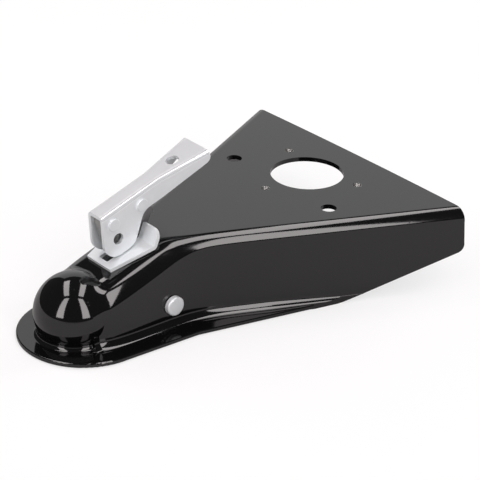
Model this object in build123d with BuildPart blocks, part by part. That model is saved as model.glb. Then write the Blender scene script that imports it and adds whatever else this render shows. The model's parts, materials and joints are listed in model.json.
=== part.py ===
import os
from math import cos, exp, hypot, log, pi, radians, sin, sqrt, tan

from build123d import *

# A-frame trailer coupling head, in millimetres.
# Origin at the centre of the hitch ball, nose towards -Y, tow direction along Y, +Z up.

# Pressed shell
sheet = 4.0
ball_radius = 29.37
ball_clearance = 0.25
plate_height = 49.5
brim_bottom = -23.3
rear_y = 306.8
rear_bow = 2.0
rear_wall_bottom = 12.5
rear_corner = 8.0
knee_y = 205.4
knee_round = 20.0
frame_half_angle = 25.0
wall_draft = 5.0
plate_corner = 11.0

# Neck between dome and plate
neck_start_y = -5.0
neck_half = 39.2
waist_length = 16.0
flare_y = 91.5
flare_soft = 6.0
wedge_y = 124.0
bend_y = 75.0
bend_soft = 3.0
slope_angle = 18.0
neck_corner_growth = 12.0
neck_spans = 16
foot_round = 4.0
foot_reach = 5.0

# Flat brim round the nose
nose_radius = 55.9
nose_y = 10.2
brim_waist_half = 60.4
brim_waist_y = 79.0
brim_edge = 1.2

# Holes in the plate
jack_y = 247.5
jack_radius = 31.75
jack_bolt_circle = 47.4
jack_rear_angle = 22.7
tapped_radius = 4.0
side_hole_radius = 6.65
side_hole_x = 60.9
side_hole_y = 216.9

# Saddle plate on the neck slope
saddle_sheet = 3.0
saddle_gap = 0.1
saddle_front = 19.0
saddle_front_half = 15.2
saddle_rear = 20.5
saddle_rear_half = 24.3
tab_angle = 50.0
tab_length = 13.5
tab_corner = 8.0
tab_bend = 2.0
slot_half = 3.4
slot_front = 18.2
keeper_rear = 16.8
keeper_length = 4.0
keeper_inside_half = 2.8
keeper_side = 1.8
keeper_room = 5.6
keeper_top = 2.5

# Cam lever, laid out from its pivot along and square to the neck slope
latch_setback = 33.6
lever_sheet = 3.0
lever_half = 9.5
lever_rear_half = 17.0
lever_flare_start = 50.0
lever_rise = 11.7
lever_length = 99.0
lever_front = 8.0
lever_depth = 6.2
lever_rear_depth = 2.4
lever_bend = 4.2
lever_end_round = 6.0
cam_height = 29.5
cam_gap = 1.2
cam_front = 18.0
cam_rear = 13.0
cam_toe = 13.0
cam_heel = 14.0
cam_neck_place = 29.6
cam_neck_round = 13.0
safety_hole_radius = 4.75
safety_hole_drop = 14.6
handle_hole_radius = 5.5
handle_hole_place = 73.5

# Rivets of the lever
running_gap = 0.05
pivot_radius = 4.0
rivet_head_radius = 5.3
rivet_head_height = 1.7
rivet_edge = 0.7
pawl_pivot_radius = 3.5
pawl_pivot_place = 29.4

# Finger pawl in the channel of the lever
pawl_half = 4.8
pawl_nose_half = 2.2
pawl_eye = 7.0
pawl_arm_front = 22.0
pawl_arm_rear = 40.0
pawl_arm_drop = 9.0
pawl_heel_drop = 17.0
pawl_heel_front = 31.0
pawl_base_gap = 2.2
pawl_nose_height = 2.0
pawl_nose_reach = 2.4
pawl_tail_end = 66.0
pawl_tail_drop = 4.5
pawl_tail_thick = 3.6
pawl_pocket_half = 2.9
pawl_pocket_radius = 7.4
pawl_pocket_depth = 15.0
pawl_wire = 0.6
pawl_coil_gap = 0.3
pawl_coil_pitch = 1.35
pawl_coil_turns = 2
pawl_spring_leg = 12.0

# Draw bolt
eye_half = 4.0
eye_radius = 8.2
strap_length = 24.0
bolt_radius = 4.76
bolt_gap = 0.6
washer_gap = 0.1
pivot_washer_radius = 7.5

# Ball clamp under the neck
pin_y = 70.0
pin_z = -1.5
pin_radius = 5.5
pin_head_radius = 8.2
pin_head_height = 4.6
pin_head_edge = 1.4
clamp_eye = 8.2
clamp_seat = 6.5
clamp_arm_inside = 5.7
clamp_arm_thick = 7.0
clamp_arm_low = -9.0
jaw_gap = 0.35
jaw_thick = 5.5
jaw_half_angle = 38.0
jaw_top = 5.4
jaw_bottom_gap = 0.8
clamp_side_gap = 0.3

# Nut set on the draw bolt
seat_gap = 0.3
nut_washer_radius = 8.4
nut_washer_thick = 1.8
nut_across_flats = 14.3
nut_height = 6.4
insert_height = 1.6
insert_wall = 1.4
collar_wall = 0.9
bolt_end = 1.0

# Torsion springs and spacers on the clamp pin
spring_wire = 1.0
spring_coil_gap = 0.4
spring_coil_pitch = 2.2
spring_turns = 2.75
spring_reach = 37.0
spacer_wall = 2.0

# Worked out from the sizes above
dome_radius = ball_radius + ball_clearance + sheet
socket_radius = ball_radius + ball_clearance
brim_top = brim_bottom + sheet
frame_slope = tan(radians(frame_half_angle))
draft = tan(radians(wall_draft))
rise = tan(radians(slope_angle))
slope_cos = cos(radians(slope_angle))
slope_sin = sin(radians(slope_angle))


def soft_ramp(distance, softness):
    # nothing before the corner and the distance past it, with the corner rounded off
    return softness * log(1 + exp(distance / softness))


def half_width(y):
    # half width of the shell at the top of the brim: dome, then waist, then the A-frame flare
    waist = neck_half - (neck_half - dome_radius) * exp(-max(y, 0) / waist_length)
    return waist + frame_slope * soft_ramp(y - flare_y, flare_soft)


def wall_slope(y):
    return frame_slope / (1 + exp((flare_y - y) / flare_soft))


def roof_height(y):
    return plate_height - rise * soft_ramp(bend_y - y, bend_soft)


def roof_slope(y):
    return rise / (1 + exp((y - bend_y) / bend_soft))


def roof_corner(y):
    # the bend between wall and roof is rounder towards the dome
    return plate_corner + neck_corner_growth * soft_ramp(flare_y - y, flare_soft) / flare_y


def shell_section(y, inset):
    # outline of the hollow across the tow direction: the shell's own outline moved inwards
    foot = half_width(y) - inset * hypot(1, wall_slope(y))
    roof = roof_height(y) - inset * hypot(1, roof_slope(y))
    shoulder = foot - draft * (roof - brim_top)
    skirt = foot + draft * 2 * sheet
    with BuildSketch(Plane.XZ.offset(-y)) as section:
        with BuildLine():
            Polyline(
                (-skirt, brim_bottom - sheet),
                (-shoulder, roof),
                (shoulder, roof),
                (skirt, brim_bottom - sheet),
                close=True,
            )
        make_face()
        fillet(section.vertices().group_by(Axis.Y)[-1], roof_corner(y) - inset)
    return section.sketch


def outer_section(y):
    # outline of the shell across the tow direction, with the bend from the wall into the brim
    foot = half_width(y)
    roof = roof_height(y)
    shoulder = foot - draft * (roof - brim_top)
    reach = foot + foot_reach
    with BuildSketch(Plane.XZ.offset(-y)) as section:
        with BuildLine():
            Polyline(
                (-reach, brim_bottom),
                (-reach, brim_top),
                (-foot, brim_top),
                (-shoulder, roof),
                (shoulder, roof),
                (foot, brim_top),
                (reach, brim_top),
                (reach, brim_bottom),
                close=True,
            )
        make_face()
        fillet(section.vertices().group_by(Axis.Y)[-1], roof_corner(y))
        fillet(section.vertices().group_by(Axis.Y)[1].sort_by(Axis.X)[1:3], foot_round)
    return section.sketch


def rivet(plane, shank, grip, head, height, edge):
    # rivet along the plane's normal, with a flat round-edged head at each end of the grip
    with BuildPart() as piece:
        with BuildSketch(plane):
            Circle(shank)
        extrude(amount=grip, both=True)
        with BuildSketch(plane.offset(grip)):
            Circle(head)
        extrude(amount=height)
        with BuildSketch(plane.offset(-grip)):
            Circle(head)
        extrude(amount=-height)
        ends = piece.faces().sort_by(Axis(plane.origin, plane.z_dir))
        fillet(ends[0].edges() + ends[-1].edges(), edge)
    return piece.part


def torsion_spring(plane, mean, wire, pitch, turns, start_leg, end_leg):
    # coil about the plane's normal from the plane's own side of -x, with a straight leg at each end
    coil = plane.location * Rot(0, 0, 180) * Helix(pitch=pitch, height=pitch * turns, radius=mean)
    with BuildPart() as piece:
        with BuildSketch(Plane(coil @ 0, z_dir=coil % 0)):
            Circle(wire)
        sweep(path=coil, is_frenet=True)
        extrude(piece.faces().sort_by_distance(coil @ 0)[0], amount=start_leg)
        extrude(piece.faces().filter_by(GeomType.PLANE).sort_by_distance(coil @ 1)[0], amount=end_leg)
    return piece.part


# Stations along the neck, from the dome to the start of the straight wedge, and those of its hollow
neck_step = (wedge_y - neck_start_y) / neck_spans
neck_stations = [neck_start_y + neck_step * number for number in range(neck_spans + 1)]
hollow_stations = [neck_start_y + sheet] + neck_stations[1:-1]

# Latch frame: origin on the lever pivot, local x rearwards along the neck slope, local y square to it
saddle_top = cam_height + cam_gap
pivot_height = saddle_top + saddle_sheet + saddle_gap
pivot_y = bend_y - latch_setback * slope_cos - pivot_height * slope_sin
pivot_z = plate_height - latch_setback * slope_sin + pivot_height * slope_cos
along = Vector(0, slope_cos, slope_sin)
square = Vector(0, -slope_sin, slope_cos)
pivot = Vector(0, pivot_y, pivot_z)
latch = Plane(pivot, x_dir=along, z_dir=(1, 0, 0))
slope = Plane(pivot, x_dir=(1, 0, 0), z_dir=square)

# The clamp pin seen from the lever pivot, and the seats of the nut set beside it on the draw bolt
pin_along = (pin_y - pivot_y) * slope_cos + (pin_z - pivot_z) * slope_sin
pin_below = (pin_y - pivot_y) * slope_sin - (pin_z - pivot_z) * slope_cos
seat = pivot - square * pin_below
washer_top = pin_below + clamp_seat + seat_gap
nut_top = washer_top + nut_washer_thick
insert_top = nut_top + nut_height
bolt_length = insert_top + insert_height + bolt_end
insert_radius = bolt_radius + running_gap + insert_wall
collar_radius = insert_radius + running_gap + collar_wall
pin_axis = Plane((0, pin_y, pin_z), x_dir=(0, 1, 0), z_dir=(1, 0, 0))
pin_wall = half_width(pin_y) - draft * (pin_z - brim_top)
pin_seat = pin_wall + draft * pin_head_radius
clamp_side = clamp_arm_inside + clamp_arm_thick + clamp_side_gap
spring_mean = pin_radius + spring_coil_gap + spring_wire
spring_roof = roof_height(pin_y - spring_mean) - sheet * hypot(1, rise) - 2 * spring_wire
spring_lean = (spring_roof - pin_z) * spring_coil_pitch / (2 * pi * spring_mean)
spring_start = clamp_side + spring_wire + spring_lean
spacer_start = spring_start + spring_coil_pitch * spring_turns + spring_wire + clamp_side_gap
spacer_radius = pin_radius + running_gap + spacer_wall
spacer_end = pin_wall - sheet * hypot(1, draft) - draft * spacer_radius - clamp_side_gap

# Throat under the dome: a bend that touches the dome and the brim
throat_z = brim_top + foot_round
throat_r = sqrt((dome_radius + foot_round) ** 2 - throat_z**2)
throat_out = dome_radius / (dome_radius + foot_round)
throat_in = socket_radius / (dome_radius + foot_round)
front_half = Plane((0, 0, 0), x_dir=(-1, 0, 0), z_dir=(0, 1, 0))

cheek_inside = lever_half - lever_sheet
lever_under = lever_rise - lever_sheet
flare = (lever_rear_half - lever_half) / (lever_length - lever_flare_start)
flare_inset = lever_sheet * hypot(1, flare)
pawl_pivot = pivot + along * pawl_pivot_place
pawl_axis = Plane(pawl_pivot, x_dir=along, z_dir=(1, 0, 0))
nose_low = saddle_top - pawl_base_gap
nose_high = nose_low - pawl_nose_height

# Hollow of the A-frame wedge, flat under the plate and along both walls
with BuildPart() as wedge_hollow:
    with BuildSketch(Plane.XY.offset(plate_height - sheet)):
        with BuildLine():
            Polyline(
                (-half_width(rear_y), wedge_y),
                (half_width(rear_y), wedge_y),
                (half_width(rear_y), rear_y + sheet),
                (-half_width(rear_y), rear_y + sheet),
                close=True,
            )
        make_face()
    extrude(amount=-(plate_height - brim_bottom))
    wall_foot = half_width(wedge_y) - sheet * hypot(1, frame_slope)
    for side in (1, -1):
        inner_wall = Plane((side * wall_foot, wedge_y, brim_top), z_dir=(side, -frame_slope, draft))
        split(bisect_by=inner_wall, keep=Keep.BOTTOM)
    bends = wedge_hollow.faces().sort_by(Axis.Z)[-1].edges().filter_by(Axis.X, reverse=True)
    fillet(bends, plate_corner - sheet)

with BuildPart() as coupler_body:
    # brim: round nose, waist and a straight taper that runs out at the knee of the wall
    with BuildSketch(Plane.XY.offset(brim_bottom)):
        with BuildLine():
            nose = ThreePointArc((-nose_radius, nose_y), (0, nose_y - nose_radius), (nose_radius, nose_y))
            Polyline(
                nose @ 1,
                (brim_waist_half, brim_waist_y),
                (half_width(knee_y), knee_y),
                (-half_width(knee_y), knee_y),
                (-brim_waist_half, brim_waist_y),
                nose @ 0,
            )
        make_face()
    extrude(amount=sheet)
    rim = coupler_body.edges().filter_by(Plane.XY).group_by(Axis.Z)
    fillet(rim[0] + rim[-1], brim_edge)
    # neck and A-frame wedge
    loft([outer_section(station) for station in neck_stations])
    loft([outer_section(station) for station in (wedge_y, rear_y)], ruled=True)
    # dome over the ball, and the bend from its undercut into the front of the brim
    Sphere(dome_radius)
    with BuildSketch(front_half):
        with BuildLine():
            throat = RadiusArc(
                (throat_r * throat_out, throat_z * throat_out), (throat_r, brim_top), -foot_round
            )
            Polyline(throat @ 1, (throat_r, brim_bottom), (0, brim_bottom), (0, 0), throat @ 0)
        make_face()
    revolve(axis=Axis.Z, revolution_arc=180)
    # trim line of the brim: in to the wall at the knee, then along the wall
    with BuildSketch(Plane.XY.offset(brim_top + foot_round)):
        with BuildLine():
            Polyline(
                (brim_waist_half, brim_waist_y),
                (half_width(knee_y), knee_y),
                (half_width(rear_y), rear_y),
                (2 * half_width(rear_y), rear_y),
                (2 * half_width(rear_y), brim_waist_y),
                close=True,
            )
        make_face()
        mirror(about=Plane.YZ)
    extrude(amount=-(foot_round + 2 * sheet), mode=Mode.SUBTRACT)
    # hollow of neck and wedge
    add(wedge_hollow.part, mode=Mode.SUBTRACT)
    wedge_mouth = wedge_hollow.faces().sort_by(Axis.Y)[0]
    loft([shell_section(station, sheet) for station in hollow_stations] + [wedge_mouth], mode=Mode.SUBTRACT)
    # ball socket, flared at its mouth
    Sphere(socket_radius, mode=Mode.SUBTRACT)
    with BuildSketch(front_half):
        with BuildLine():
            mouth = RadiusArc(
                (throat_r * throat_in, throat_z * throat_in), (throat_r, brim_bottom), -foot_round - sheet
            )
            Polyline(mouth @ 1, (throat_r, -dome_radius), (0, -dome_radius), (0, 0), mouth @ 0)
        make_face()
    revolve(axis=Axis.Z, revolution_arc=180, mode=Mode.SUBTRACT)
    # side view: level brim, then the wall's lower edge rises from the knee to a rounded rear corner
    wall_end = rear_y - rear_bow
    with BuildSketch(Plane.YZ) as side:
        with BuildLine():
            Polyline(
                (-nose_radius, brim_bottom),
                (knee_y, brim_bottom),
                (wall_end, rear_wall_bottom),
                (wall_end, plate_height - plate_corner),
                (rear_y, plate_height - plate_corner),
                (rear_y, plate_height + sheet),
                (-nose_radius, plate_height + sheet),
                close=True,
            )
        make_face()
        fillet(side.vertices().sort_by_distance((knee_y, brim_bottom))[0], knee_round)
        fillet(side.vertices().sort_by_distance((wall_end, rear_wall_bottom))[0], rear_corner)
    extrude(amount=2 * half_width(rear_y), both=True, mode=Mode.INTERSECT)
    # plan view: bowed rear edge
    with BuildSketch(Plane.XY.offset(plate_height + sheet)):
        with BuildLine():
            bow = ThreePointArc(
                (-half_width(rear_y), rear_y - rear_bow), (0, rear_y), (half_width(rear_y), rear_y - rear_bow)
            )
            Polyline(bow @ 1, (half_width(rear_y), rear_y + sheet), (-half_width(rear_y), rear_y + sheet), bow @ 0)
        make_face()
    extrude(amount=brim_bottom - plate_height - sheet, mode=Mode.SUBTRACT)
    # holes in the plate
    with Locations((0, jack_y, plate_height)):
        Hole(jack_radius, depth=2 * sheet)
    rear_x = jack_bolt_circle * cos(radians(jack_rear_angle))
    rear_hole_y = jack_y + jack_bolt_circle * sin(radians(jack_rear_angle))
    with Locations(
        (0, jack_y - jack_bolt_circle, plate_height),
        (rear_x, rear_hole_y, plate_height),
        (-rear_x, rear_hole_y, plate_height),
    ):
        Hole(tapped_radius, depth=2 * sheet)
    with Locations((side_hole_x, side_hole_y, plate_height), (-side_hole_x, side_hole_y, plate_height)):
        Hole(side_hole_radius, depth=2 * sheet)
    # draw bolt hole in the neck roof, pin holes in the neck walls
    with BuildSketch(slope.offset(-pivot_height)):
        Circle(bolt_radius + bolt_gap)
    extrude(amount=2 * sheet, both=True, mode=Mode.SUBTRACT)
    with BuildSketch(pin_axis):
        Circle(pin_radius + running_gap)
    extrude(amount=pin_wall + sheet, both=True, mode=Mode.SUBTRACT)
coupler_body.part.label = "coupler_body"

with BuildPart() as saddle_plate:
    tilt = radians(tab_angle)
    tab_top = Vector(saddle_rear + tab_length * cos(tilt), -saddle_top + tab_length * sin(tilt))
    with BuildSketch(latch) as fold:
        with BuildLine():
            Polyline(
                (-saddle_front, -saddle_top),
                (saddle_rear, -saddle_top),
                tab_top,
                tab_top + Vector(sin(tilt), -cos(tilt)) * saddle_sheet,
                (saddle_rear + saddle_sheet * tan(tilt / 2), -saddle_top - saddle_sheet),
                (-saddle_front, -saddle_top - saddle_sheet),
                close=True,
            )
        make_face()
        inner_bend = fold.vertices().sort_by_distance((saddle_rear, -saddle_top))[0]
        fillet(inner_bend, tab_bend)
        outer_bend = fold.vertices().group_by(Axis.Y)[0].sort_by(Axis.X)[-1]
        fillet(outer_bend, tab_bend + saddle_sheet)
    extrude(amount=saddle_rear_half, both=True)
    # plan: narrower towards the dome
    with BuildSketch(slope.offset(-saddle_top)):
        with BuildLine():
            Polyline(
                (-saddle_front_half, -saddle_front),
                (saddle_front_half, -saddle_front),
                (saddle_rear_half, saddle_rear),
                (saddle_rear_half, 2 * saddle_rear),
                (-saddle_rear_half, 2 * saddle_rear),
                (-saddle_rear_half, saddle_rear),
                close=True,
            )
        make_face()
    extrude(amount=tab_length + saddle_sheet, both=True, mode=Mode.INTERSECT)
    tab_end = saddle_plate.faces().sort_by(Axis((0, 0, 0), along * cos(tilt) + square * sin(tilt)))[-1]
    fillet(tab_end.edges().filter_by(Axis.X, reverse=True), tab_corner)
    # keeper loop for the pawl
    keeper_plane = Plane(
        pivot + along * (keeper_rear - keeper_length) - square * saddle_top, x_dir=(1, 0, 0), z_dir=-along
    )
    with BuildSketch(keeper_plane):
        with Locations((0, (keeper_room + keeper_top) / 2)):
            Rectangle(2 * (keeper_inside_half + keeper_side), keeper_room + keeper_top)
        with Locations((0, keeper_room / 2)):
            Rectangle(2 * keeper_inside_half, keeper_room, mode=Mode.SUBTRACT)
    extrude(amount=-keeper_length)
    # open slot in the tab, draw bolt hole in the base
    with BuildSketch(slope.offset(-saddle_top)):
        with Locations((0, (slot_front + 2 * saddle_rear) / 2)):
            Rectangle(2 * slot_half, 2 * saddle_rear - slot_front)
    extrude(amount=tab_length + saddle_sheet, both=True, mode=Mode.SUBTRACT)
    with BuildSketch(slope.offset(-saddle_top)):
        Circle(bolt_radius + bolt_gap)
    extrude(amount=-2 * saddle_sheet, mode=Mode.SUBTRACT)
saddle_plate.part.label = "saddle_plate"

# Inside of the folded lever, its bends within those of the outside
with BuildPart() as lever_channel:
    end_half = lever_rear_half - flare_inset + flare * lever_sheet
    start_place = lever_flare_start + (cheek_inside - lever_half + flare_inset) / flare
    with BuildSketch(slope.offset(lever_under)):
        with BuildLine():
            Polyline(
                (-cheek_inside, -2 * cam_front),
                (cheek_inside, -2 * cam_front),
                (cheek_inside, start_place),
                (end_half, lever_length + lever_sheet),
                (-end_half, lever_length + lever_sheet),
                (-cheek_inside, start_place),
                close=True,
            )
        make_face()
    extrude(amount=-(lever_under + cam_height))
    inner_top = lever_channel.faces().sort_by(Axis((0, 0, 0), square))[-1]
    fillet(inner_top.edges().filter_by(Axis.X, reverse=True), lever_bend - lever_sheet)

with BuildPart() as lever:
    # plan of the folded channel, straight at the cams and flared at the grip
    with BuildSketch(slope.offset(lever_rise)):
        with BuildLine():
            Polyline(
                (-lever_half, -2 * cam_front),
                (lever_half, -2 * cam_front),
                (lever_half, lever_flare_start),
                (lever_rear_half, lever_length),
                (-lever_rear_half, lever_length),
                (-lever_half, lever_flare_start),
                close=True,
            )
        make_face()
    extrude(amount=-(lever_rise + cam_height))
    folds = lever.faces().sort_by(Axis((0, 0, 0), square))[-1].edges().filter_by(Axis.X, reverse=True)
    fillet(folds, lever_bend)
    # side view of the cheeks: cam lobes below the pivot, slim grip behind
    with BuildSketch(latch) as cheek:
        with BuildLine():
            Polyline(
                (-lever_front, lever_rise),
                (-cam_front, -cam_height),
                (cam_rear, -cam_height),
                (cam_neck_place, -lever_depth),
                (lever_flare_start, -lever_depth),
                (lever_length, lever_rear_depth),
                (lever_length, lever_rise),
                close=True,
            )
        make_face()
        lobe = cheek.vertices().group_by(Axis.Y)[0].sort_by(Axis.X)
        fillet(lobe[0], cam_toe)
        fillet(cheek.vertices().sort_by_distance((cam_rear, -cam_height))[0], cam_heel)
        fillet(cheek.vertices().sort_by_distance((cam_neck_place, -lever_depth))[0], cam_neck_round)
        fillet(cheek.vertices().sort_by_distance((lever_length, lever_rear_depth))[0], lever_end_round)
    extrude(amount=lever_rear_half, both=True, mode=Mode.INTERSECT)
    add(lever_channel.part, mode=Mode.SUBTRACT)
    # rivet holes, safety pin hole and the hole in the grip
    with BuildSketch(latch):
        Circle(pivot_radius + running_gap)
        with Locations((pawl_pivot_place, 0)):
            Circle(pawl_pivot_radius + running_gap)
        with Locations((0, -safety_hole_drop)):
            Circle(safety_hole_radius)
    extrude(amount=lever_half, both=True, mode=Mode.SUBTRACT)
    with BuildSketch(slope.offset(lever_rise)):
        with Locations((0, handle_hole_place)):
            Circle(handle_hole_radius)
    extrude(amount=-2 * lever_sheet, mode=Mode.SUBTRACT)
lever.part.label = "lever"

lever_pivot_rivet = rivet(latch, pivot_radius, lever_half, rivet_head_radius, rivet_head_height, rivet_edge)
lever_pivot_rivet.label = "lever_pivot_rivet"

pawl_rivet = rivet(pawl_axis, pawl_pivot_radius, lever_half, rivet_head_radius, rivet_head_height, rivet_edge)
pawl_rivet.label = "pawl_rivet"

with BuildPart() as pivot_washer_right:
    with BuildSketch(latch.offset(eye_half + washer_gap)):
        Circle(pivot_washer_radius)
        Circle(pivot_radius + running_gap, mode=Mode.SUBTRACT)
    extrude(amount=cheek_inside - eye_half - 2 * washer_gap)
pivot_washer_right.part.label = "pivot_washer_right"

with BuildPart() as pivot_washer_left:
    mirror(pivot_washer_right.part, about=Plane.YZ, mode=Mode.ADD)
pivot_washer_left.part.label = "pivot_washer_left"

with BuildPart() as lock_pawl:
    with BuildSketch(latch):
        with BuildLine():
            Polyline(
                (pawl_arm_front, 0),
                (pawl_arm_front, -nose_high),
                (keeper_rear - pawl_nose_reach, -nose_high),
                (keeper_rear - pawl_nose_reach, -nose_low),
                (pawl_heel_front, -nose_low),
                (pawl_arm_rear, -pawl_heel_drop),
                (pawl_arm_rear, -pawl_arm_drop),
                (pawl_tail_end, -pawl_tail_drop),
                (pawl_tail_end, pawl_tail_thick - pawl_tail_drop),
                (pawl_pivot_place, pawl_eye),
                close=True,
            )
        make_face()
        with Locations((pawl_pivot_place, 0)):
            Circle(pawl_eye)
            Circle(pawl_pivot_radius + running_gap, mode=Mode.SUBTRACT)
    extrude(amount=pawl_half, both=True)
    # lower end narrowed to pass the slot and enter the keeper
    with BuildSketch(latch.offset(pawl_nose_half), latch.offset(-pawl_half)):
        with Locations((keeper_rear, -nose_low)):
            Rectangle(2 * (pawl_arm_rear - keeper_rear), 2 * (nose_low - pawl_heel_drop))
    extrude(amount=pawl_half - pawl_nose_half, mode=Mode.SUBTRACT)
    # pocket for the spring
    with BuildSketch(latch):
        with Locations((pawl_pivot_place, 0)):
            Circle(pawl_pocket_radius)
        with Locations(((pawl_arm_front + pawl_pivot_place) / 2, -pawl_pocket_depth / 2)):
            Rectangle(pawl_pivot_place - pawl_arm_front, pawl_pocket_depth)
    extrude(amount=pawl_pocket_half, both=True, mode=Mode.SUBTRACT)
lock_pawl.part.label = "lock_pawl"

pawl_coil_start = Plane(
    pawl_pivot - Vector(pawl_coil_pitch * pawl_coil_turns / 2, 0, 0), x_dir=along, z_dir=(1, 0, 0)
)
pawl_spring = torsion_spring(
    pawl_coil_start,
    pawl_pivot_radius + pawl_coil_gap + pawl_wire,
    pawl_wire,
    pawl_coil_pitch,
    pawl_coil_turns,
    lever_under - 2 * pawl_wire,
    pawl_spring_leg,
)
pawl_spring.label = "pawl_spring"

with BuildPart() as draw_bolt:
    # flat forged eye and strap
    with BuildSketch(latch):
        Circle(eye_radius)
        with Locations((0, -strap_length / 2)):
            Rectangle(2 * eye_radius, strap_length)
    extrude(amount=eye_half, both=True)
    strap_end = draw_bolt.faces().sort_by(Axis((0, 0, 0), square))[0].edges().filter_by(Axis.X)
    fillet(strap_end, eye_radius / 2)
    # round shank
    with BuildSketch(slope.offset(-strap_length + bolt_radius)):
        Circle(bolt_radius)
    extrude(amount=-(bolt_length - strap_length + bolt_radius))
    shank_end = draw_bolt.faces().sort_by(Axis((0, 0, 0), square))[0].edges()
    chamfer(shank_end, bolt_end)
    with BuildSketch(latch):
        Circle(pivot_radius + running_gap)
        with Locations((0, -safety_hole_drop)):
            Circle(safety_hole_radius)
    extrude(amount=bolt_radius, both=True, mode=Mode.SUBTRACT)
draw_bolt.part.label = "draw_bolt"

with BuildPart() as clamp_washer:
    with BuildSketch(slope.offset(-washer_top)):
        Circle(nut_washer_radius)
        Circle(bolt_radius + running_gap, mode=Mode.SUBTRACT)
    extrude(amount=-nut_washer_thick)
clamp_washer.part.label = "clamp_washer"

with BuildPart() as adjusting_nut:
    with BuildSketch(slope.offset(-nut_top)):
        RegularPolygon(nut_across_flats / 2, 6, major_radius=False)
        Circle(bolt_radius + running_gap, mode=Mode.SUBTRACT)
    extrude(amount=-nut_height)
    with BuildSketch(slope.offset(-insert_top)):
        Circle(collar_radius)
        Circle(insert_radius + running_gap, mode=Mode.SUBTRACT)
    extrude(amount=-insert_height)
adjusting_nut.part.label = "adjusting_nut"

with BuildPart() as nut_insert:
    with BuildSketch(slope.offset(-insert_top)):
        Circle(insert_radius)
        Circle(bolt_radius + running_gap, mode=Mode.SUBTRACT)
    extrude(amount=-insert_height)
nut_insert.part.label = "nut_insert"

with BuildPart() as ball_clamp:
    jaw_inner = socket_radius + jaw_gap
    jaw_outer = jaw_inner + jaw_thick
    jaw_bottom = brim_bottom + jaw_bottom_gap
    # one arm beside the draw bolt: pin eye, round seat for the nut set, run to the jaw
    with BuildSketch(Plane.YZ.offset(clamp_arm_inside)):
        with BuildLine():
            Polyline(
                (pin_y, pin_z + clamp_eye),
                (jaw_inner + jaw_thick / 2, jaw_top),
                (jaw_inner + jaw_thick / 2, clamp_arm_low),
                (seat.Y - clamp_seat / 2, clamp_arm_low),
                (seat.Y, seat.Z),
                (pin_y, pin_z),
                close=True,
            )
        make_face()
        with Locations((seat.Y, seat.Z)):
            Circle(clamp_seat)
        with Locations((pin_y, pin_z)):
            Circle(clamp_eye)
            Circle(pin_radius + running_gap, mode=Mode.SUBTRACT)
    extrude(amount=clamp_arm_thick)
    mirror(about=Plane.YZ)
    # jaw: a slice of a ball shell round the rear of the ball, reaching below its middle
    swing = radians(90 - jaw_half_angle)
    jaw_plane = Plane((0, 0, 0), x_dir=(cos(swing), sin(swing), 0), z_dir=(sin(swing), -cos(swing), 0))
    with BuildSketch(jaw_plane):
        Circle(jaw_outer)
        Circle(jaw_inner, mode=Mode.SUBTRACT)
        with Locations((jaw_outer / 2, (jaw_top + jaw_bottom) / 2)):
            Rectangle(jaw_outer, jaw_top - jaw_bottom, mode=Mode.INTERSECT)
    revolve(axis=Axis.Z, revolution_arc=2 * jaw_half_angle)
    Sphere(jaw_inner, mode=Mode.SUBTRACT)
ball_clamp.part.label = "ball_clamp"

clamp_pivot_pin = rivet(pin_axis, pin_radius, pin_seat, pin_head_radius, pin_head_height, pin_head_edge)
clamp_pivot_pin.label = "clamp_pivot_pin"

with BuildPart() as pivot_spacer_right:
    with BuildSketch(pin_axis.offset(spacer_start)):
        Circle(spacer_radius)
        Circle(pin_radius + running_gap, mode=Mode.SUBTRACT)
    extrude(amount=spacer_end - spacer_start)
pivot_spacer_right.part.label = "pivot_spacer_right"

with BuildPart() as pivot_spacer_left:
    mirror(pivot_spacer_right.part, about=Plane.YZ, mode=Mode.ADD)
pivot_spacer_left.part.label = "pivot_spacer_left"

clamp_spring_right = torsion_spring(
    pin_axis.offset(spring_start),
    spring_mean,
    spring_wire,
    spring_coil_pitch,
    spring_turns,
    spring_roof - pin_z,
    spring_reach,
)
clamp_spring_right.label = "clamp_spring_right"

with BuildPart() as clamp_spring_left:
    mirror(clamp_spring_right, about=Plane.YZ, mode=Mode.ADD)
clamp_spring_left.part.label = "clamp_spring_left"

os.makedirs("parts", exist_ok=True)
export_step(coupler_body.part, "parts/coupler_body.step")
export_step(saddle_plate.part, "parts/saddle_plate.step")
export_step(lever.part, "parts/lever.step")
export_step(lever_pivot_rivet, "parts/lever_pivot_rivet.step")
export_step(pawl_rivet, "parts/pawl_rivet.step")
export_step(pivot_washer_right.part, "parts/pivot_washer_right.step")
export_step(pivot_washer_left.part, "parts/pivot_washer_left.step")
export_step(lock_pawl.part, "parts/lock_pawl.step")
export_step(pawl_spring, "parts/pawl_spring.step")
export_step(draw_bolt.part, "parts/draw_bolt.step")
export_step(clamp_washer.part, "parts/clamp_washer.step")
export_step(adjusting_nut.part, "parts/adjusting_nut.step")
export_step(nut_insert.part, "parts/nut_insert.step")
export_step(ball_clamp.part, "parts/ball_clamp.step")
export_step(clamp_pivot_pin, "parts/clamp_pivot_pin.step")
export_step(pivot_spacer_right.part, "parts/pivot_spacer_right.step")
export_step(pivot_spacer_left.part, "parts/pivot_spacer_left.step")
export_step(clamp_spring_right, "parts/clamp_spring_right.step")
export_step(clamp_spring_left.part, "parts/clamp_spring_left.step")
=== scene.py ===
import json
import math

import bmesh
import bpy
import numpy as np
from mathutils import Matrix, Vector


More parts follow.
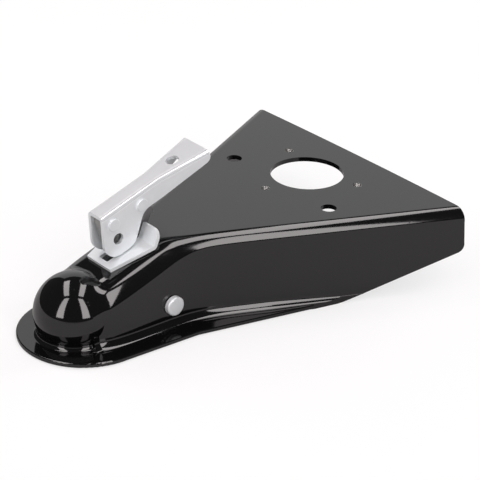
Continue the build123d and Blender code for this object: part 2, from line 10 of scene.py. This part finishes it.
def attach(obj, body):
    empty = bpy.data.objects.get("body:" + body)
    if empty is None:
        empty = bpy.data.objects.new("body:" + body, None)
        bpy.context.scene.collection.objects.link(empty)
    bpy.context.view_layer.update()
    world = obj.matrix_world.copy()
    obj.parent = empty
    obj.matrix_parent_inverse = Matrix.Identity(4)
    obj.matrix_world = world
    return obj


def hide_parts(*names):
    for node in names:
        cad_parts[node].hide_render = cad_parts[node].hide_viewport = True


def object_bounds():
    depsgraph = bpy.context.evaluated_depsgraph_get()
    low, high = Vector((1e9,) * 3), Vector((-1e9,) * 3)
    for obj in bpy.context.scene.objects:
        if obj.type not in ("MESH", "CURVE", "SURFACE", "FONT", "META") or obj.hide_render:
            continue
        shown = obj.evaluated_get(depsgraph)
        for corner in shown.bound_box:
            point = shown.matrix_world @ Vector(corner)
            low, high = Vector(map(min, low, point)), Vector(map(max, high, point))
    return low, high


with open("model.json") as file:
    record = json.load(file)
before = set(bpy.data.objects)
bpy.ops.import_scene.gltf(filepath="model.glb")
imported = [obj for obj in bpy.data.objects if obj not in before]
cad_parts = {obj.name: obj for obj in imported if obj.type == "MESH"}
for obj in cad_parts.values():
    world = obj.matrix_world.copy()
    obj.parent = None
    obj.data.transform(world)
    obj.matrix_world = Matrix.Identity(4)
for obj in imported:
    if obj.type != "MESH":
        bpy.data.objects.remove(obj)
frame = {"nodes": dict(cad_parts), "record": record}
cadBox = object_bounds()
print("frame loaded:", len(frame["nodes"]), "nodes")

# the outlines below are in millimetres, the scene is in metres
perMetre = 1000


# shader trees
class Socket:
    # one output of a shader tree; sums with it add Math nodes to the tree
    def __init__(self, tree, plug):
        self.tree = tree
        self.plug = plug

    def node(self, kind, settings, sockets, output=0):
        # any node: its type, its settings first, then the values or links of its sockets
        made = self.tree.nodes.new(kind)
        for name, setting in settings.items():
            setattr(made, name, setting)
        for name, given in sockets.items():
            if isinstance(given, Socket):
                self.tree.links.new(given.plug, made.inputs[name])
            else:
                made.inputs[name].default_value = given
        return Socket(self.tree, made.outputs[output])

    def math(self, operation, other):
        return self.node("ShaderNodeMath", {"operation": operation}, {0: self, 1: other})

    def __add__(self, other):
        return self.math("ADD", other)

    def __sub__(self, other):
        return self.math("SUBTRACT", other)

    def __mul__(self, other):
        return self.math("MULTIPLY", other)


def startMaterial(name, fixed):
    # a Principled material with its constant sockets set; gives back its object coordinates
    material = bpy.data.materials.new(name)
    material.use_nodes = True
    tree = material.node_tree
    shader = tree.nodes["Principled BSDF"]
    for socketName, value in fixed.items():
        shader.inputs[socketName].default_value = value
    coords = tree.nodes.new("ShaderNodeTexCoord")
    return material, shader, Socket(tree, coords.outputs["Object"])


def plugIn(shader, sockets):
    for name, given in sockets.items():
        given.tree.links.new(given.plug, shader.inputs[name])


def noise(at, scale, detail):
    return at.node("ShaderNodeTexNoise", {}, {"Vector": at, "Scale": scale, "Detail": detail})


def between(at, share, first, second):
    # colour on the way from the first to the second
    return at.node("ShaderNodeMix", {"data_type": "RGBA"}, {"Factor": share, 6: first, 7: second}, 2)


def bump(at, height, strength, distance):
    return at.node("ShaderNodeBump", {}, {"Height": height, "Strength": strength, "Distance": distance})


def marked(at, name):
    # attribute of the mesh as a number, 0 where the mesh has none
    return at.node("ShaderNodeAttribute", {"attribute_name": name}, {}, 2)


# glossy black enamel on the pressed shell; noises have scale and detail, bumps strength and distance
blackPaint = {
    "deep": (0.0022, 0.0022, 0.0024, 1),
    "worn": (0.0045, 0.0045, 0.0047, 1),
    "ior": 1.7,
    "gloss": 0.05,
    "haze": 0.035,
    "cloud": (14.0, 4.0),
    "peel": (70, 1.0),
    "bump": (0.003, 0.001),
}


def makeBlackPaint():
    k = blackPaint
    material, shader, at = startMaterial("blackPaint", {"IOR": k["ior"]})
    cloud = noise(at, *k["cloud"])
    colour = between(at, cloud, k["deep"], k["worn"])
    peel = bump(at, noise(at, *k["peel"]), *k["bump"])
    plugIn(shader, {"Base Color": colour, "Roughness": cloud * k["haze"] + k["gloss"], "Normal": peel})
    return material


# bright zinc plate on the stamped latch pieces, with painted shade darkening the lever's top, and smoother
# in its bends
brightZinc = {
    "pale": (0.94, 0.975, 0.99, 1),
    "cool": (0.83, 0.87, 0.895, 1),
    # colour of the painted shade on the lever's top
    "topShade": (0.68, 0.70, 0.715, 1),
    "low": 0.26,
    "high": 0.10,
    "bend": 0.20,
    "metal": 0.36,
    "cloud": (60.0, 5.0),
    "grain": (900.0, 3.0),
    "bump": (0.01, 0.0005),
}


def makeBrightZinc():
    k = brightZinc
    material, shader, at = startMaterial("brightZinc", {"Metallic": k["metal"]})
    cloud = noise(at, *k["cloud"])
    colour = between(at, cloud, k["pale"], k["cool"])
    # painted shade: the lever's top is mixed towards a darker grey zinc
    colour = between(at, marked(at, "top"), colour, k["topShade"])
    rough = cloud * k["high"] + k["low"] - marked(at, "bend") * k["bend"]
    grain = bump(at, noise(at, *k["grain"]), *k["bump"])
    plugIn(shader, {"Base Color": colour, "Roughness": rough, "Normal": grain})
    return material


# finishes of one noise: duller zinc on the turned pieces, blackened forging of pawl and clamp,
# drawn spring wire and the nylon ring of the lock nut
plainFinishes = {
    "dullZinc": {
        "fixed": {"Metallic": 1.0},
        "cloud": (160.0, 5.0),
        "colours": ((0.56, 0.56, 0.55, 1), (0.40, 0.40, 0.39, 1)),
        "low": 0.34,
        "high": 0.16,
        "bump": (0.05, 0.0004),
    },
    "darkForging": {
        "fixed": {"Metallic": 1.0},
        "cloud": (240.0, 6.0),
        "colours": ((0.26, 0.26, 0.265, 1), (0.37, 0.37, 0.375, 1)),
        "low": 0.36,
        "high": 0.16,
        "bump": (0.15, 0.0005),
    },
    "springWire": {
        "fixed": {"Metallic": 1.0},
        "cloud": (350.0, 4.0),
        "colours": ((0.30, 0.30, 0.31, 1), (0.16, 0.16, 0.17, 1)),
        "low": 0.28,
        "high": 0.15,
        "bump": None,
    },
    "nylonRing": {
        "fixed": {"IOR": 1.53},
        "cloud": (300.0, 3.0),
        "colours": ((0.10, 0.20, 0.52, 1), (0.07, 0.15, 0.42, 1)),
        "low": 0.35,
        "high": 0.2,
        "bump": None,
    },
}


def makePlain(name):
    k = plainFinishes[name]
    material, shader, at = startMaterial(name, k["fixed"])
    cloud = noise(at, *k["cloud"])
    colour = between(at, cloud, *k["colours"])
    plugIn(shader, {"Base Color": colour, "Roughness": cloud * k["high"] + k["low"]})
    if k["bump"]:
        plugIn(shader, {"Normal": bump(at, cloud, *k["bump"])})
    return material


finishes = {
    "black_paint": makeBlackPaint(),
    "bright_zinc": makeBrightZinc(),
    "dull_zinc": makePlain("dullZinc"),
    "dark_forging": makePlain("darkForging"),
    "spring_wire": makePlain("springWire"),
    "nylon": makePlain("nylonRing"),
}
slotOf = {row["node"]: row["material_slot"] for row in frame["record"]["subparts"]}
for node, thing in frame["nodes"].items():
    for place in thing.material_slots:
        place.material = finishes[slotOf[node]]
print("materials made:", len(finishes))


# meshes
def gridFaces(rows, columns):
    # quads between neighbouring points of a rows by columns grid
    first = np.arange((rows - 1) * columns).reshape(rows - 1, columns)[:, :-1].ravel()
    return np.stack([first, first + 1, first + columns + 1, first + columns], 1).tolist()


def makeMesh(name, points, faces, material):
    # an object in the scene from an array of points and a list of faces
    mesh = bpy.data.meshes.new(name)
    mesh.from_pydata(points.tolist(), [], faces)
    mesh.materials.append(material)
    made = bpy.data.objects.new(name, mesh)
    bpy.context.scene.collection.objects.link(made)
    return made


# joined copies: how near corners are joined, in metres, and up to which angle their faces shade as one
copies = {"join": 1e-6, "crease": 35}


def mergedMesh(node):
    # a solid's mesh with its loose corners joined
    work = bmesh.new()
    work.from_mesh(frame["nodes"][node].data)
    bmesh.ops.remove_doubles(work, verts=work.verts, dist=copies["join"])
    return work


def pointsAndFaces(work):
    work.verts.index_update()
    points = np.array([v.co for v in work.verts])
    return points, np.array([[v.index for v in f.verts] for f in work.faces])


def mergedCopy(node):
    work = mergedMesh(node)
    points, faces = pointsAndFaces(work)
    work.free()
    return points, faces


def unit(v):
    return v / np.maximum(np.linalg.norm(v, axis=-1, keepdims=True), 1e-12)


def faceVectors(p, faces):
    # normals of triangles, longer for larger ones
    return np.cross(p[faces[:, 1]] - p[faces[:, 0]], p[faces[:, 2]] - p[faces[:, 0]])


def softNormals(p, faces):
    # normal at each corner of each triangle: the mean of the faces there within the crease angle
    weighted = faceVectors(p, faces)
    flat = unit(weighted)
    corners = faces.ravel()
    order = np.argsort(corners, kind="stable")
    starts = np.searchsorted(corners[order], np.arange(len(p) + 1))
    normals = np.zeros((len(corners), 3))
    limit = math.cos(math.radians(copies["crease"]))
    for first, last in zip(starts[:-1], starts[1:]):
        own = order[first:last]
        sides = own // 3
        normals[own] = ((flat[sides] @ flat[sides].T) > limit) @ weighted[sides]
    return unit(normals).reshape(-1, 3, 3)


def shadeBy(made, normals):
    made.data.shade_smooth()
    made.data.normals_split_custom_set(normals.reshape(-1, 3).tolist())


def standIn(made, node, body):
    # the piece takes the place of a solid on its body
    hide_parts(node)
    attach(made, body)


# pressed shell: sizes of its outline, what the blended form adds to them, and how finely its bends are cut
shell = {
    "node": "coupler_body",
    "dome": 33.62,
    "neckStart": -5.0,
    "neckHalf": 39.2,
    "waist": 16.0,
    "flare": math.tan(math.radians(25)),
    "flareAt": 91.5,
    "flareSoft": 6.0,
    "flareMore": 5.0,
    "plate": 49.5,
    "rise": math.tan(math.radians(18)),
    "bendAt": 75.0,
    "bendSoft": 3.0,
    "draft": math.tan(math.radians(5)),
    "brimTop": -19.3,
    "corner": 11.0,
    "growth": 12.0,
    "lateShare": 0.9,
    "lateAt": 84.0,
    "lateSoft": 7.0,
    "footBend": 4.0,
    "footMore": 3.5,
    "footFade": (150, 205),
    "blend": 5.0,
    "blendRise": 18.0,
    "blendSide": 26.0,
    "blendTop": 0.25,
    "far": 1000,
    "step": 0.02,
    "moves": 4,
    "near": 0.2,
    "astray": 0.8,
    "facing": 0.7,
    "turn": 2.6,
    "short": 0.4,
    "rounds": 6,
}


def softRamp(distance, softness):
    # nothing before the corner and the distance past it, with the corner rounded off
    return softness * np.logaddexp(0, distance / softness)


def shellDistance(p, blended):
    # distance outside the pressing, the solid's own where blended is 0: drafted wall, round bend to the
    # roof and hollow bend to the brim, joined with the ball of the dome
    k = shell
    x, y, z = np.abs(p[:, 0]), p[:, 1], p[:, 2]
    draft, lean = k["draft"], math.hypot(1, k["draft"])

    # neck that flares into the wedge
    foot = k["neckHalf"] - (k["neckHalf"] - k["dome"]) * np.exp(-np.maximum(y, 0) / k["waist"])
    soft = k["flareSoft"] + blended * k["flareMore"]
    foot = foot + k["flare"] * softRamp(y - k["flareAt"], soft)
    roof = k["plate"] - k["rise"] * softRamp(k["bendAt"] - y, k["bendSoft"])
    early = softRamp(k["flareAt"] - y, k["flareSoft"]) / k["flareAt"]
    late = k["lateShare"] / (1 + np.exp((y - k["lateAt"]) / k["lateSoft"]))
    bend = k["corner"] + k["growth"] * (early + blended * (late - early))
    wall = (x - foot + draft * (z - k["brimTop"])) / lean
    across = x - foot + draft * (roof - bend - k["brimTop"]) + bend * lean
    above = z - roof + bend
    inBend = (across > 0) & (above > draft * across)
    neck = np.where(inBend, np.hypot(across, above) - bend, np.maximum(wall, z - roof))

    # bend at its foot
    fadeStart, fadeEnd = k["footFade"]
    fade = np.clip((fadeEnd - y) / (fadeEnd - fadeStart), 0, 1)
    bend = k["footBend"] + blended * k["footMore"] * fade
    across = x - foot - bend * (lean - draft)
    above = z - k["brimTop"] - bend
    inFoot = (across < 0) & (above < draft * across)
    neck = np.where(inFoot, bend - np.hypot(across, above), np.minimum(neck, z - k["brimTop"]))
    neck = np.where(y < k["neckStart"] - k["near"], k["far"], neck)

    # dome, and the soft crease between the two
    dome = np.linalg.norm(p, axis=1) - k["dome"]
    width = np.clip(z / k["blendRise"], 0, 1) * np.clip(x / k["blendSide"], k["blendTop"], 1)
    width = blended * k["blend"] * width + 1e-9
    share = np.clip(1 - np.abs(neck - dome) / width, 0, 1)
    return np.minimum(neck, dome) - share**2 * width / 4


def shellSlope(p):
    # change of the distance along x, y and z
    step = shell["step"]
    return np.stack(
        [(shellDistance(p + d, 1) - shellDistance(p - d, 1)) / (2 * step) for d in np.eye(3) * step], 1
    )


def onto(p):
    # points moved square onto the blended surface
    for again in range(shell["moves"]):
        slope = shellSlope(p)
        p = p - slope * (shellDistance(p, 1) / (slope**2).sum(1))[:, None]
    return p


def onSkin(p, faces, outer):
    # triangles that lie on the outside: all corners there, facing out and nowhere far from the surface
    k = shell
    middle = p[faces].mean(1)
    facing = (unit(faceVectors(p, faces)) * unit(shellSlope(middle))).sum(1)
    astray = np.minimum(np.abs(shellDistance(middle, 0)), np.abs(shellDistance(middle, 1)))
    return outer[faces].all(1) & (facing > k["facing"]) & (astray < k["astray"])


def bentEdges(work, skin, slope):
    # edges of the skin along which its normal turns too far, in the order of its faces
    work.faces.ensure_lookup_table()
    edges = dict.fromkeys(edge for number in np.flatnonzero(skin) for edge in work.faces[number].edges)
    limit = math.cos(math.radians(shell["turn"]))
    long = [e for e in edges if e.calc_length() > shell["short"] / perMetre]
    return [e for e in long if slope[e.verts[0].index] @ slope[e.verts[1].index] < limit]


def makeShell():
    # merged copy of the solid's mesh, its outer bends cut finer and laid on the blended surface
    k = shell
    work = mergedMesh(k["node"])
    mark = work.verts.layers.int.new("outer")
    p = pointsAndFaces(work)[0] * perMetre
    fresh = [v for v, close in zip(work.verts, np.abs(shellDistance(p, 0)) < k["near"]) if close]
    for again in range(k["rounds"]):
        points, faces = pointsAndFaces(work)
        p = points * perMetre
        rows = [v.index for v in fresh]
        p[rows] = onto(p[rows])
        for v in fresh:
            v[mark] = 1
            v.co = p[v.index] / perMetre
        outer = np.array([v[mark] for v in work.verts]) == 1
        slope = unit(shellSlope(p))
        skin = onSkin(p, faces, outer)
        if again < k["rounds"] - 1:
            cut = bmesh.ops.subdivide_edges(work, edges=bentEdges(work, skin, slope), cuts=1)
            fresh = [part for part in cut["geom_inner"] if isinstance(part, bmesh.types.BMVert)]
            bmesh.ops.triangulate(work, faces=[f for f in work.faces if len(f.verts) > 3])
    work.free()
    made = makeMesh("pressedShell", p / perMetre, faces.tolist(), finishes["black_paint"])
    shadeBy(made, np.where(skin[:, None, None], slope[faces], softNormals(p, faces)))
    standIn(made, k["node"], "shell")
    print("shell cut:", len(faces), "triangles")


makeShell()


# lever: between which leans its long bends lie, and from which rise its top starts, where painted shade
# darkens the zinc
lever = {
    "node": "lever",
    "flat": 0.35,
    "flatSoft": 0.2,
    "square": 0.97,
    "squareSoft": 0.05,
    "top": 0.7,
    "topSoft": 0.2,
}


def makeLever():
    # merged copy of the solid's mesh, marked on its top, which gets painted shade, and where its normal
    # leans over to the cheek
    k = lever
    points, faces = mergedCopy(k["node"])
    made = makeMesh("rolledLever", points, faces.tolist(), finishes["bright_zinc"])
    normals = softNormals(points, faces)
    shadeBy(made, normals)
    lean, rise = np.abs(normals[:, :, 0]).ravel(), normals[:, :, 2].ravel()
    leaves = np.clip((lean - k["flat"]) / k["flatSoft"], 0, 1)
    arrives = np.clip((k["square"] - lean) / k["squareSoft"], 0, 1)
    # the top mark is where the zinc's colour gets painted shade
    marks = {"bend": leaves * arrives, "top": np.clip((rise - k["top"]) / k["topSoft"], 0, 1)}
    for name, shares in marks.items():
        made.data.attributes.new(name, "FLOAT", "CORNER").data.foreach_set("value", shares)
    standIn(made, k["node"], "lever")
    print("lever rolled:", len(faces), "triangles")


makeLever()


# saddle plate: the bolt's hole in it runs forwards as a slot, measured from the bolt on the plate's top
saddle = {
    "node": "saddle_plate",
    "bolt": (0, 42.087, 42.066),
    "slope": math.radians(18),
    "half": 5.6,
    "front": 14.0,
    "depth": 3.6,
    "round": 1.5,
    "steps": 6,
}


def slotTool():
    # upright block: outline of the slot with its front corners rounded, laid on the slope
    k = saddle
    turn = np.linspace(0, math.pi / 2, k["steps"])
    side = k["half"] - k["round"] + k["round"] * np.cos(turn)
    ahead = k["front"] - k["round"] + k["round"] * np.sin(turn)
    x = np.concatenate([[k["half"]], side, -side[::-1], [-k["half"]]])
    y = -np.concatenate([[0], ahead, ahead[::-1], [0]])
    along = np.array([0, math.cos(k["slope"]), math.sin(k["slope"])])
    square = np.array([0, -math.sin(k["slope"]), math.cos(k["slope"])])
    ring = np.array(k["bolt"]) + x[:, None] * [1, 0, 0] + y[:, None] * along
    points = np.concatenate([ring - square * k["depth"], ring + square * k["depth"]]) / perMetre
    count = len(ring)
    here = np.arange(count)
    sides = np.stack([here, here + count, (here + 1) % count + count, (here + 1) % count], 1)
    return points, sides.tolist() + [here.tolist(), (here[::-1] + count).tolist()]


def makeSaddle():
    # merged copy of the solid's mesh less the slot
    k = saddle
    points, faces = mergedCopy(k["node"])
    plate = makeMesh("plainSaddle", points, faces.tolist(), finishes["bright_zinc"])
    tool = makeMesh("slotTool", *slotTool(), finishes["bright_zinc"])
    cut = plate.modifiers.new("slot", "BOOLEAN")
    cut.operation, cut.solver, cut.object = "DIFFERENCE", "EXACT", tool
    mesh = plate.evaluated_get(bpy.context.evaluated_depsgraph_get()).to_mesh()
    mesh.calc_loop_triangles()
    points = np.array([v.co for v in mesh.vertices])
    faces = np.array([t.vertices for t in mesh.loop_triangles])
    bpy.data.objects.remove(plate)
    bpy.data.objects.remove(tool)
    made = makeMesh("slottedSaddle", points, faces.tolist(), finishes["bright_zinc"])
    shadeBy(made, softNormals(points, faces))
    standIn(made, k["node"], "shell")
    print("saddle slotted:", len(faces), "triangles")


makeSaddle()


# threads of the three tapped jack holes
thread = {
    "places": ((0, 200.1), (43.73, 265.79), (-43.73, 265.79)),
    "low": 45.55,
    "high": 49.4,
    "wall": 3.96,
    "crest": 3.4,
    "pitch": 1.4,
    "rows": 41,
    "columns": 48,
}


def makeThreads():
    # closed sleeve in each hole: its inside swings between wall and crest along z, a turn later by one pitch
    k = thread
    z = np.linspace(k["low"], k["high"], k["rows"])[:, None]
    turn = np.linspace(0, 2 * math.pi, k["columns"], endpoint=False)
    swing = np.abs(2 * ((z / k["pitch"] - turn / (2 * math.pi)) % 1) - 1)
    inside = k["wall"] - (k["wall"] - k["crest"]) * swing
    radius = np.concatenate([inside, np.full((2, k["columns"]), k["wall"])])
    height = np.concatenate([z, [[k["high"]], [k["low"]]]]) + 0 * turn
    rows, columns = radius.shape
    row, column = np.divmod(np.arange(rows * columns), columns)
    ahead, here, above = (column + 1) % columns, row * columns, (row + 1) % rows * columns
    faces = np.stack([here + column, above + column, above + ahead, here + ahead], 1)
    sleeve = np.stack([radius * np.cos(turn), radius * np.sin(turn), height], 2).reshape(-1, 3)
    points = np.concatenate([sleeve + [x, y, 0] for x, y in k["places"]]) / perMetre
    every = np.concatenate([faces + number * len(sleeve) for number in range(len(k["places"]))])
    made = makeMesh("tappedThreads", points, every.tolist(), finishes["dull_zinc"])
    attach(made, "shell")
    print("threads cut:", len(every), "faces")


makeThreads()


# camera of the photograph, in metres and degrees
camera = {
    "place": (1.11093, -0.78879, 0.78090),
    "azimuth": 49.355,
    "elevation": 27.726,
    "roll": 1.245,
    "lens": 146.68,
    "sensor": 36.0,
    "shift": (0.0150, -0.0008),
}


def levelWay(azimuth):
    # level direction from the object towards an azimuth; 0 is the nose side, 90 the right
    turn = math.radians(azimuth)
    return Vector((math.sin(turn), -math.cos(turn), 0))


def makeCamera():
    k = camera
    tilt = math.radians(k["elevation"])
    back = levelWay(k["azimuth"]) * math.cos(tilt) + Vector((0, 0, math.sin(tilt)))
    right = levelWay(k["azimuth"] + 90)
    up = back.cross(right)
    turn = Matrix((right, up, back)).transposed() @ Matrix.Rotation(math.radians(k["roll"]), 3, "Z")
    data = bpy.data.cameras.new("camera")
    data.lens = k["lens"]
    data.sensor_width = k["sensor"]
    data.shift_x, data.shift_y = k["shift"]
    made = bpy.data.objects.new("camera", data)
    made.matrix_world = Matrix.Translation(k["place"]) @ turn.to_4x4()
    bpy.context.scene.collection.objects.link(made)
    bpy.context.scene.camera = made


makeCamera()
print("camera set")


# light tent, in metres: two standing panels towards the camera, two ceiling strips over the object
# and two fills on the far side
tent = {
    "front": 1.0,
    "ceiling": 2.25,
    "inner": 0.49,
    "outer": 1.04,
    "foot": 0.15,
    "gap": 0.05,
    "stripFront": 0.69,
    "stripRear": -1.5,
    "radiance": 4.5,
    "tint": (1.0, 0.945, 0.95),
    "fillTurn": 125,
    "fillFar": 1.6,
    "fillHigh": 0.6,
    "fillSide": 1.0,
}


def makePanel(name, middle, across, along, size):
    # rectangular lamp whose power goes with its area, so that all of them look equally bright
    data = bpy.data.lights.new(name, "AREA")
    data.shape = "RECTANGLE"
    data.size, data.size_y = size
    data.energy = tent["radiance"] * math.pi * size[0] * size[1]
    data.color = tent["tint"]
    made = bpy.data.objects.new(name, data)
    facing = across.cross(along)
    made.matrix_world = Matrix.Translation(middle) @ Matrix((across, along, facing)).transposed().to_4x4()
    made.visible_camera = False
    bpy.context.scene.collection.objects.link(made)
    return made


def makeTent():
    k = tent
    towards = levelWay(camera["azimuth"])
    right = levelWay(camera["azimuth"] + 90)
    up = Vector((0, 0, 1))
    width = k["outer"] - k["inner"]
    tall = k["ceiling"] - k["gap"] - k["foot"]
    deep = k["stripFront"] - k["stripRear"]
    for side, word in ((1, "Right"), (-1, "Left")):
        offset = right * side * (k["inner"] + width / 2)
        standing = towards * k["front"] + offset + up * (k["foot"] + tall / 2)
        makePanel("panel" + word, standing, right, up, (width, tall))
        hanging = towards * (k["stripFront"] + k["stripRear"]) / 2 + offset + up * k["ceiling"]
        makePanel("strip" + word, hanging, right, -towards, (width, deep))
        # the fill is kept out of the gloss
        behind = camera["azimuth"] + side * k["fillTurn"]
        low = levelWay(behind) * k["fillFar"] + up * k["fillHigh"]
        fill = makePanel("fill" + word, low, levelWay(behind + 90), up, (k["fillSide"],) * 2)
        fill.visible_glossy = False


makeTent()
print("lamps placed")


# pale floor, the dark side of the room, which shows in the gloss alone, and the white behind them
studio = {
    "half": 8.0,
    "pale": 0.43,
    "white": 0.88,
    "shade": 0.45,
    "mirrored": 0.61,
    "ambient": 0.12,
    "room": 3.6,
    "dark": 0.05,
    "window": 26,
    "foot": -1,
    "lintel": 40,
    "crown": 89,
    "rows": 13,
    "columns": 49,
}
plainWhite = (1, 1, 1, 1)


def seenShare(at, mirrored):
    # 1 for what the camera sees, a share of it for what gloss and glass show, nothing for light
    rays = at.node("ShaderNodeLightPath", {}, {}).plug.node.outputs
    eye, gloss, glass = (
        Socket(at.tree, rays[name]) for name in ("Is Camera Ray", "Is Glossy Ray", "Is Transmission Ray")
    )
    return eye + (gloss + glass) * mirrored


def bareMaterial(name):
    # a material without a shader, and the start and the end of its tree
    material = bpy.data.materials.new(name)
    material.use_nodes = True
    tree = material.node_tree
    tree.nodes.clear()
    out = tree.nodes.new("ShaderNodeOutputMaterial")
    return material, Socket(tree, None), out


def makeFloor():
    k = studio
    material, start, out = bareMaterial("paleFloor")
    matt = start.node("ShaderNodeBsdfDiffuse", {}, {"Color": (k["pale"],) * 3 + (1,)})
    glow = start.node("ShaderNodeEmission", {}, {"Color": plainWhite, "Strength": 1.0})
    # the camera sees white, with the object's shadow on it out to one metre
    lit = start.node("ShaderNodeBsdfDiffuse", {}, {"Color": (k["white"],) * 3 + (1,)})
    coords = start.node("ShaderNodeTexCoord", {}, {}).plug.node
    place = Socket(start.tree, coords.outputs["Object"])
    fade = start.node("ShaderNodeTexGradient", {"gradient_type": "SPHERICAL"}, {"Vector": place})
    seen = start.node("ShaderNodeMixShader", {}, {0: fade * k["shade"], 1: glow, 2: lit})
    mixed = start.node("ShaderNodeMixShader", {}, {0: seenShare(start, 0), 1: matt, 2: seen})
    plugIn(out, {"Surface": mixed})
    # flat grid, level with the lowest point of the object
    span = np.linspace(-k["half"], k["half"], 3)
    x, y = np.meshgrid(span, span)
    points = np.stack([x.ravel(), y.ravel(), np.full(x.size, cadBox[0].z)], 1)
    makeMesh("floor", points, gridFaces(len(span), len(span)), material)


def makeRoom():
    # part of a ball round the set, open behind the object as far as the white backdrop reaches
    k = studio
    material, start, out = bareMaterial("darkRoom")
    glow = start.node("ShaderNodeEmission", {}, {"Color": plainWhite, "Strength": k["dark"]})
    plugIn(out, {"Surface": glow})
    near = camera["azimuth"]
    for name, sweep, low, high in (
        ("roomWall", 180 - k["window"], k["foot"], k["lintel"]),
        ("roomTop", 180, k["lintel"], k["crown"]),
    ):
        azimuth = np.radians(np.linspace(near - sweep, near + sweep, k["columns"]))
        rise = np.radians(np.linspace(low, high, k["rows"]))[:, None]
        level, height = np.cos(rise), np.sin(rise) + 0 * azimuth
        ball = np.stack([level * np.sin(azimuth), -level * np.cos(azimuth), height], 2).reshape(-1, 3)
        made = makeMesh(name, ball * k["room"], gridFaces(k["rows"], k["columns"]), material)
        made.visible_camera = False
        made.visible_diffuse = False
        made.visible_shadow = False
        made.visible_transmission = False


def makeWorld():
    world = bpy.data.worlds.new("whiteRoom")
    world.use_nodes = True
    bpy.context.scene.world = world
    sky = world.node_tree.nodes["Background"]
    sky.inputs["Color"].default_value = plainWhite
    seen = seenShare(Socket(world.node_tree, None), studio["mirrored"])
    plugIn(sky, {"Strength": seen + studio["ambient"]})


makeFloor()
makeRoom()
makeWorld()
bpy.context.scene.view_settings.view_transform = "Standard"
print("studio built")
